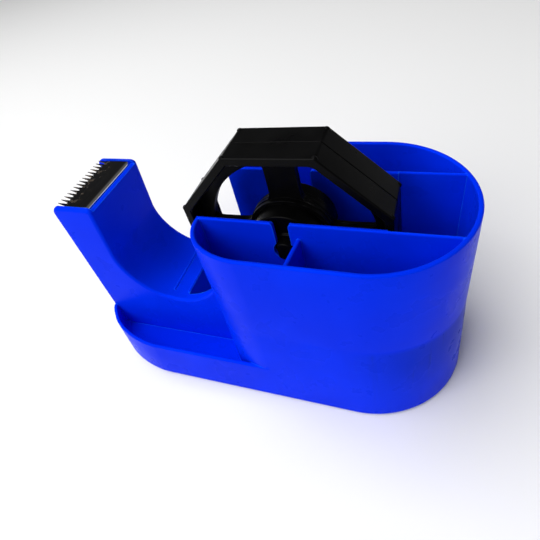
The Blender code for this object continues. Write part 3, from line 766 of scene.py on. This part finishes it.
def body_moulding():
    body = Solid("body_moulding", tray_solid(), (HUB_X, 0, 0))
    body.join(pod_solid())
    body.join(arm_solid())
    for side in (-1, 1):
        body.cut(pod_hollow(side))
        body.join(divider(side))
    body.cut(well_front())
    body.cut(well_middle())
    body.cut(well_rear())
    for x in (RIDGE_X, WELL_EDGE_X + RIDGE_R):
        z = CRADLE_Z - math.sqrt(CRADLE_R**2 - (CRADLE_X - x) ** 2) - RIDGE_R / 3
        reach = INNER_WALL_IN - WALL / 2
        body.join(lathe_bead(-x, z, reach))
    for side in (-1, 1):
        low, high = sorted((side * (INNER_WALL_IN - PAST), side * (INNER_WALL_OUT + PAST)))
        body.cut(prism(slot_shape(), low, high))
        body.cut(cylinder(SEAT_R, (0, low, HUB_Z), (0, high, HUB_Z)))
    body.cut(blade_seat())
    body.cut(hollow_arm())
    body.cut(pod_room())
    body.cut(tray_room())
    return body.done(BLUE)


# Geometry Nodes: one small piece set out at many places

def input_socket(tree, name, kind, value):
    made = tree.interface.new_socket(name, in_out="INPUT", socket_type=kind)
    made.default_value = value
    return made.identifier


class Spread:
    """A node tree that sets a source mesh out, realises the copies and gives them a finish."""

    def __init__(self, name):
        self.tree = bpy.data.node_groups.new(name, "GeometryNodeTree")
        self.tree.interface.new_socket("Geometry", in_out="INPUT", socket_type="NodeSocketGeometry")
        self.ids = {}
        self.values = {}
        self.start = self.tree.nodes.new("NodeGroupInput")

    def size(self, name, value, kind="NodeSocketFloat"):
        self.ids[name] = input_socket(self.tree, name, kind, value)
        self.values[name] = value
        return self.start.outputs[name]

    def node(self, kind, **inputs):
        made = self.tree.nodes.new(kind)
        for name, value in inputs.items():
            socket = made.inputs[name.replace("_", " ")]
            if isinstance(value, bpy.types.NodeSocket):
                self.tree.links.new(value, socket)
            else:
                socket.default_value = value
        return made

    def math(self, operation, a, b=0.0):
        made = self.tree.nodes.new("ShaderNodeMath")
        made.operation = operation
        for socket, value in zip(made.inputs, (a, b)):
            if isinstance(value, bpy.types.NodeSocket):
                self.tree.links.new(value, socket)
            else:
                socket.default_value = value
        return made.outputs["Value"]

    def vector(self, x, y, z):
        return self.node("ShaderNodeCombineXYZ", X=x, Y=y, Z=z).outputs["Vector"]

    def end(self, points, instance, look, turn=None):
        """Copies the instance to the points, realises the copies and closes the tree."""
        self.tree.interface.new_socket("Geometry", in_out="OUTPUT", socket_type="NodeSocketGeometry")
        spread = self.node("GeometryNodeInstanceOnPoints", Points=points, Instance=instance)
        if turn is not None:
            self.tree.links.new(turn, spread.inputs["Rotation"])
        real = self.node("GeometryNodeRealizeInstances", Geometry=spread.outputs["Instances"])
        dressed = self.node("GeometryNodeSetMaterial", Geometry=real.outputs["Geometry"])
        dressed.inputs["Material"].default_value = look
        out = self.tree.nodes.new("NodeGroupOutput")
        self.tree.links.new(dressed.outputs["Geometry"], out.inputs[0])

    def piece(self, name, source, place, look, sharp=32):
        """Runs the tree on a source mesh and returns the finished plain piece."""
        mesh = bpy.data.meshes.new(name)
        bmesh.ops.recalc_face_normals(source, faces=source.faces)
        source.to_mesh(mesh)
        source.free()
        thing = bpy.data.objects.new(name, mesh)
        bpy.context.scene.collection.objects.link(thing)
        run = thing.modifiers.new("spread", "NODES")
        run.node_group = self.tree
        for key, value in self.values.items():
            run[self.ids[key]] = value
        plain = evaluated_mesh(thing)
        bpy.data.objects.remove(thing, do_unlink=True)
        return finished(name, plain, place, look, sharp)


# Blade

def blade_strip():
    """The strip in side view: flat top, a tight bend and a lip turned down, with fine broken edges."""
    top, wall, bend = BLADE_TOP_Z, BLADE_WALL, BLADE_BEND_R
    back = -BLADE_BACK
    outer = [(-BLADE_ROOT, top)] + arc(back - bend, top - bend, bend, 90, 0, 9)
    outer += [(back, top - wall - BLADE_LIP)]
    inner = [(back - wall, top - wall - BLADE_LIP)] + arc(back - bend, top - bend, bend - wall, 0, 90, 9)
    inner += [(-BLADE_ROOT, top - wall)]
    bm = prism(outer + inner, -BLADE_HALF, BLADE_HALF, "Y", 0.00010, 2)
    return Solid("blade_strip", bm, (HUB_X, 0, 0)).done(STEEL, 24)


def blade_teeth():
    """A row of pointed teeth along the front edge: one tapered spike set out along a line."""
    spread = Spread("tooth_row")
    count = spread.size("Teeth", TOOTH_COUNT, "NodeSocketInt")
    pitch = spread.size("Pitch", 2 * BLADE_HALF / TOOTH_COUNT)
    height = spread.size("Height", BLADE_TOP_Z - BLADE_WALL / 2)
    root = spread.size("Root", -BLADE_ROOT + BLADE_WALL / 2)
    first = spread.math("MULTIPLY", pitch, spread.math("MULTIPLY", spread.math("SUBTRACT", count, 1), -0.5))
    line = spread.node(
        "GeometryNodeMeshLine", Count=count, Start_Location=spread.vector(root, first, height),
        Offset=spread.vector(0, pitch, 0),
    )
    spread.end(line.outputs["Mesh"], spread.start.outputs["Geometry"], STEEL)
    half_root, half_tip = BLADE_HALF / TOOTH_COUNT * TOOTH_FILL, 0.00007
    length = BLADE_TIP - BLADE_ROOT + BLADE_WALL / 2
    thick = BLADE_WALL * 0.49
    tooth = bmesh.new()
    rows = []
    for share in (0, 0.15, 0.55, 0.9, 1):
        half = half_root + (half_tip - half_root) * share ** 0.85
        rise = TIP_RISE * share
        low, high = rise - thick * (1 - 0.55 * share), rise + thick * (1 - 0.75 * share)
        x = -length * share
        corners = ((x, -half, low), (x, half, low), (x, half * 0.82, high), (x, -half * 0.82, high))
        rows.append([tooth.verts.new(corner) for corner in corners])
    for near, far in zip(rows, rows[1:]):
        for k in range(4):
            tooth.faces.new((near[k], near[(k + 1) % 4], far[(k + 1) % 4], far[k]))
    tooth.faces.new(rows[0][::-1])
    tooth.faces.new(rows[-1])
    return spread.piece("blade_teeth", tooth, (HUB_X, 0, 0), STEEL, 24)


# Hub

def octagon(radius, low, high, corner=0.0, edge=0.0):
    profile = []
    for k in range(ADAPTER_SIDES):
        turn = math.radians(22.5 + 45 * k + ADAPTER_TURN)
        profile.append((radius * math.cos(turn), radius * math.sin(turn)))
    bm = prism(profile, low, high)
    if corner:
        long_edges = [e for e in bm.edges if abs(e.verts[0].co.y - e.verts[1].co.y) > 1e-5]
        bmesh.ops.bevel(bm, geom=long_edges, offset=corner, segments=4, profile=0.5, affect="EDGES")
    if edge:
        for y, width in ((low, edge[0]), (high, edge[1])):
            if width:
                rim = [e for e in bm.edges if all(abs(v.co.y - y) < 1e-7 for v in e.verts)]
                bmesh.ops.bevel(bm, geom=rim, offset=width, segments=3, profile=0.5, affect="EDGES")
    return bm


def flare(radius, y, side, wide):
    """A tapered octagon that breaks the inner edge of the adapter's mouth."""
    low, high = radius, radius + wide * 2
    rows = []
    for r, t in ((low, y - side * wide), (high, y + side * wide)):
        rows.append([
            (r * math.cos(turn), t, r * math.sin(turn))
            for turn in (math.radians(22.5 + 45 * k + ADAPTER_TURN) for k in range(ADAPTER_SIDES))
        ])
    return rows_solid(rows)


def turn_at(half_width, radius):
    """The turn in degrees at which a spoke's edge meets a circle."""
    return math.degrees(math.asin(half_width / radius))


def window(sector, low, high):
    """One of the four openings in the web: a quarter ring between two spokes."""
    inner, outer = COLLAR_R + SEAM, WINDOW_R
    first, last = (LEVEL_SPOKE_HALF, UPRIGHT_SPOKE_HALF)[:: -1 if sector % 2 else 1]
    points = arc(0, 0, outer, turn_at(first, outer), 90 - turn_at(last, outer), 28)
    points += arc(0, 0, inner, 90 - turn_at(last, inner), turn_at(first, inner), 12)
    bm = prism(points, low, high)
    upright = [e for e in bm.edges if abs(e.verts[0].co.y - e.verts[1].co.y) > 0.5 * (high - low)]
    corners = [e for e in upright if e.calc_face_angle(0) > math.radians(40)]
    bmesh.ops.bevel(bm, geom=corners, offset=WINDOW_ROUND, segments=7, profile=0.5, affect="EDGES")
    turn = math.radians(90 * sector - ADAPTER_TURN)
    bmesh.ops.transform(bm, matrix=Matrix.Rotation(turn, 4, "Y"), verts=bm.verts)
    return bm


def adapter_half(name, side):
    joint, end = side * SEAM / 2, side * ADAPTER_HALF
    edges = (0.0005, 0.00018) if side < 0 else (0.00018, 0.0005)
    half = Solid(name, octagon(ADAPTER_R, *sorted((joint, end)), 0.0005, edges), (HUB_X, HUB_Y, HUB_Z))
    web = side * (SEAM / 2 + WEB_WALL)
    rim_inner = ADAPTER_R - ADAPTER_WALL / math.cos(math.pi / ADAPTER_SIDES)
    half.cut(octagon(rim_inner, *sorted((web, end + side * PAST)), 0.0016))
    half.cut(flare(rim_inner, end, side, 0.00035))
    half.join(cylinder(COLLAR_R, (0, joint, 0), (0, joint + side * COLLAR_LENGTH, 0), 96))
    half.cut(cylinder(ADAPTER_BORE_R, (0, joint - side * PAST, 0), (0, end + side * PAST, 0), 96))
    for sector in range(4):
        half.cut(window(sector, *sorted((joint - side * PAST, joint + side * COLLAR_LENGTH * 2))))
    return half.done(BLACK, 30, 0.00016)


def adapter_nibs(name, side):
    """Small moulded bumps on the corners of the adapter that hold a core in place."""
    spread = Spread(name + "_ring")
    count = spread.size("Corners", ADAPTER_SIDES, "NodeSocketInt")
    radius = spread.size("Radius", ADAPTER_R - NIB_R * 0.62)
    turn = spread.size("First corner", math.radians(22.5 + ADAPTER_TURN))
    inward = spread.size("From the end", side * (ADAPTER_HALF - NIB_R * 1.1))
    ring = spread.node("GeometryNodeMeshLine", Count=count)
    index = spread.tree.nodes.new("GeometryNodeInputIndex").outputs["Index"]
    angle = spread.math("ADD", turn, spread.math("MULTIPLY", index, 2 * math.pi / ADAPTER_SIDES))
    x = spread.math("MULTIPLY", radius, spread.math("COSINE", angle))
    z = spread.math("MULTIPLY", radius, spread.math("SINE", angle))
    placed = spread.node(
        "GeometryNodeSetPosition", Geometry=ring.outputs["Mesh"], Position=spread.vector(x, inward, z)
    )
    upright = spread.vector(0, spread.math("MULTIPLY", angle, -1), 0)
    spread.end(placed.outputs["Geometry"], spread.start.outputs["Geometry"], BLACK, upright)
    nib = bmesh.new()
    bmesh.ops.create_uvsphere(nib, u_segments=20, v_segments=12, radius=NIB_R)
    bmesh.ops.scale(nib, vec=(0.9, 1.0, 1.1), verts=nib.verts)
    return spread.piece(name, nib, (HUB_X, HUB_Y, HUB_Z), BLACK)


def drum_half(name, side):
    """A short drum with a rolled rim, a recessed end wall and a sleeve round the spindle."""
    r, wall, edge, seam_edge = DRUM_R, DRUM_WALL, 0.00045, 0.00015
    bore, sleeve = SPINDLE_R + RUNNING, SPINDLE_R + RUNNING + DRUM_WALL
    joint, end = SEAM / 2, DRUM_HALF
    web = end - DRUM_RECESS
    profile = [(sleeve, joint), (sleeve, web - wall), (r - wall, web - wall), (r - wall, joint)]
    profile += [(r - seam_edge, joint), (r, joint + seam_edge)] + arc(r - edge, end - edge, edge, 0, 90, 5)
    profile += arc(r - wall + edge, end - edge, edge, 90, 180, 5)
    profile += [(r - wall, web + edge / 2), (r - wall - edge / 2, web)]
    profile += [(sleeve + edge / 2, web), (sleeve, web + edge / 2), (sleeve, end - SEAM - edge / 2)]
    profile += [(sleeve - edge / 2, end - SEAM), (bore, end - SEAM), (bore, joint)]
    bm = lathe([(a, side * b) for a, b in profile], 128)
    return Solid(name, bm, (HUB_X, HUB_Y, HUB_Z)).done(BLACK, 34)


def spindle_pin():
    """The axle, with a broken edge at both ends and flats where it hangs in the slots."""
    near, far, edge = SPINDLE_NEAR - HUB_Y, SPINDLE_FAR - HUB_Y, 0.0005
    profile = [(0, near)] + arc(SPINDLE_R - edge, near + edge, edge, -90, 0, 5)
    profile += arc(SPINDLE_R - edge, far - edge, edge, 0, 90, 5) + [(0, far)]
    pin = Solid("spindle_pin", lathe(profile, 96), (HUB_X, HUB_Y, HUB_Z))
    for side in (-1, 1):
        start = side * (INNER_WALL_IN - SEAM) - HUB_Y
        stop = start + side * 0.010
        for face in (-1, 1):
            xs = sorted((face * SPINDLE_FLATS / 2, face * SPINDLE_R * 1.5))
            ys = sorted((start, stop))
            pin.cut(box((xs[0], ys[0], -SPINDLE_R * 1.5), (xs[1], ys[1], SPINDLE_R * 1.5)))
    return pin.done(BLACK, 30, 0.00018)


# Underside

def set_out(name, source, places, height, look):
    """The same small piece at each of several places under the base."""
    spread = Spread(name + "_places")
    seat = spread.size("Height", height)
    join = spread.tree.nodes.new("GeometryNodeJoinGeometry")
    for k, (x, y) in enumerate(places):
        place = spread.vector(spread.size(f"X {k + 1}", x), spread.size(f"Y {k + 1}", y), seat)
        point = spread.node("GeometryNodePoints", Count=1, Position=place)
        spread.tree.links.new(point.outputs[0], join.inputs[0])
    spread.end(join.outputs[0], spread.start.outputs["Geometry"], look)
    return spread.piece(name, source, (0, 0, 0), look, 30)


def middle(node):
    low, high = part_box(node)
    return (low[0] + high[0]) / 2, (low[1] + high[1]) / 2


def base_screws():
    low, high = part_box("base_screw_1")
    head_r, head_h, length = (high[0] - low[0]) / 2, 0.0013, high[2] - low[2]
    edge, shank, tip, tip_length = 0.0003, 0.00125, 0.0004, 0.0010
    profile = [(0, 0)] + arc(head_r - edge, edge, edge, -90, 0, 4)
    profile += [(shank, head_h), (shank, length - tip_length), (tip, length), (0, length)]
    screw = Solid("base_screws_source", lathe(profile, 40, "Z"), (0, 0, 0))
    reach, half, depth = head_r * 0.56, 0.00036, 0.0008
    screw.cut(box((-reach, -half, -PAST), (reach, half, depth)))
    screw.cut(box((-half, -reach, -PAST), (half, reach, depth)))
    made = screw.done(ZINC, 30)
    source = bmesh.new()
    source.from_mesh(made.data)
    bpy.data.objects.remove(made, do_unlink=True)
    places = [middle(f"base_screw_{k}") for k in range(1, 7)]
    return set_out("base_screws", source, places, low[2], ZINC)


def rubber_feet():
    low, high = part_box("foot_1")
    radius, height, edge = (high[0] - low[0]) / 2, high[2] - low[2], 0.0004
    profile = [(0, 0.0002), (radius * 0.45, 0.0002), (radius * 0.5, 0)]
    profile += arc(radius - edge, edge, edge, -90, 0, 5) + [(radius, height), (0, height)]
    source = lathe(profile, 56, "Z")
    return set_out("rubber_feet", source, [middle(f"foot_{k}") for k in range(1, 5)], 0, RUBBER)


# Putting it together

def ride(piece, body, slot_name, *nodes):
    if nodes:
        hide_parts(*nodes)
    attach(piece, body)


ride(body_moulding(), "body", "blue_plastic", "body_shell")
ride(blade_strip(), "body", "blade_steel", "blade")
ride(blade_teeth(), "body", "blade_steel")
ride(base_screws(), "body", "screw_steel", *(f"base_screw_{k}" for k in range(1, 7)))
ride(rubber_feet(), "body", "foot_rubber", *(f"foot_{k}" for k in range(1, 5)))
ride(spindle_pin(), "spindle", "black_plastic", "spindle")
for side_name, side in (("near", -1), ("far", 1)):
    ride(drum_half(f"drum_{side_name}", side), "hub", "black_plastic", f"drum_half_{side_name}")
    ride(adapter_half(f"adapter_{side_name}", side), "hub", "black_plastic", f"adapter_half_{side_name}")
    ride(adapter_nibs(f"adapter_nibs_{side_name}", side), "hub", "black_plastic")
for node_name, look in (("base_plate", BLACK), ("ballast_plate", BALLAST), ("ballast_block", BALLAST)):
    for used in frame["nodes"][node_name].material_slots:
        used.material = look


# Stage, light and camera

def pale_floor():
    bm = bmesh.new()
    bmesh.ops.create_grid(bm, x_segments=1, y_segments=1, size=4.0)
    mesh = bpy.data.meshes.new("floor")
    bm.to_mesh(mesh)
    bm.free()
    look = Finish("floor_paper", (0.93, 0.93, 0.93), 0.9)
    look.shader.inputs["Specular IOR Level"].default_value = 0.1
    look.color(look.mix(look.noise(3, 2), (0.92, 0.92, 0.92), (0.94, 0.94, 0.94)))
    mesh.materials.append(look.material)
    floor = bpy.data.objects.new("floor", mesh)
    floor.location.z = -0.0001
    bpy.context.scene.collection.objects.link(floor)


def soft_sky():
    """Pale at the horizon and dimmer overhead."""
    world = bpy.context.scene.world or bpy.data.worlds.new("sky")
    bpy.context.scene.world = world
    world.use_nodes = True
    tree = world.node_tree
    shade = tree.nodes["Background"]
    where = tree.nodes.new("ShaderNodeTexCoord").outputs["Generated"]
    split = tree.nodes.new("ShaderNodeSeparateXYZ")
    tree.links.new(where, split.inputs["Vector"])
    ramp = tree.nodes.new("ShaderNodeMapRange")
    ramp.interpolation_type = "SMOOTHSTEP"
    for key, value in (("From Min", 0.10), ("From Max", 0.32), ("To Min", 0.70), ("To Max", 0.10)):
        ramp.inputs[key].default_value = value
    tree.links.new(split.outputs["Z"], ramp.inputs["Value"])
    tree.links.new(ramp.outputs["Result"], shade.inputs["Strength"])
    shade.inputs["Color"].default_value = (1, 1, 1, 1)


def soft_light(name, place, aim, size, power):
    data = bpy.data.lights.new(name, "AREA")
    data.shape = "RECTANGLE"
    data.size, data.size_y = size
    data.energy = power
    light = bpy.data.objects.new(name, data)
    light.location = place
    light.rotation_euler = (Vector(aim) - Vector(place)).to_track_quat("-Z", "Y").to_euler()
    bpy.context.scene.collection.objects.link(light)


def camera():
    place, target = Vector((0.06380, -0.11014, 0.17149)), Vector((0.00626, 0, 0.06239))
    roll = math.radians(-14.5)
    ahead = (target - place).normalized()
    right = ahead.cross(Vector((0, 0, 1))).normalized()
    up = right.cross(ahead)
    right, up = (
        right * math.cos(roll) + up * math.sin(roll), up * math.cos(roll) - right * math.sin(roll)
    )
    data = bpy.data.cameras.new("camera")
    data.sensor_width = 36
    data.lens = 29.93
    data.shift_x, data.shift_y = -0.0052, -0.0770
    data.clip_start = 0.01
    made = bpy.data.objects.new("camera", data)
    turn = Matrix((right, up, -ahead)).transposed().to_4x4()
    made.matrix_world = Matrix.Translation(place) @ turn
    bpy.context.scene.collection.objects.link(made)
    bpy.context.scene.camera = made


pale_floor()
soft_sky()
soft_light("key", (-0.40, -0.80, 0.85), (0, 0, 0.03), (0.9, 0.9), 9.5)
soft_light("top", (-0.45, -0.05, 1.25), (0, 0, 0.03), (1.0, 1.0), 13)
soft_light("fill", (0.70, -0.80, 0.45), (0, 0, 0.04), (0.7, 0.7), 0.3)
camera()
bpy.context.scene.view_settings.view_transform = "Standard"
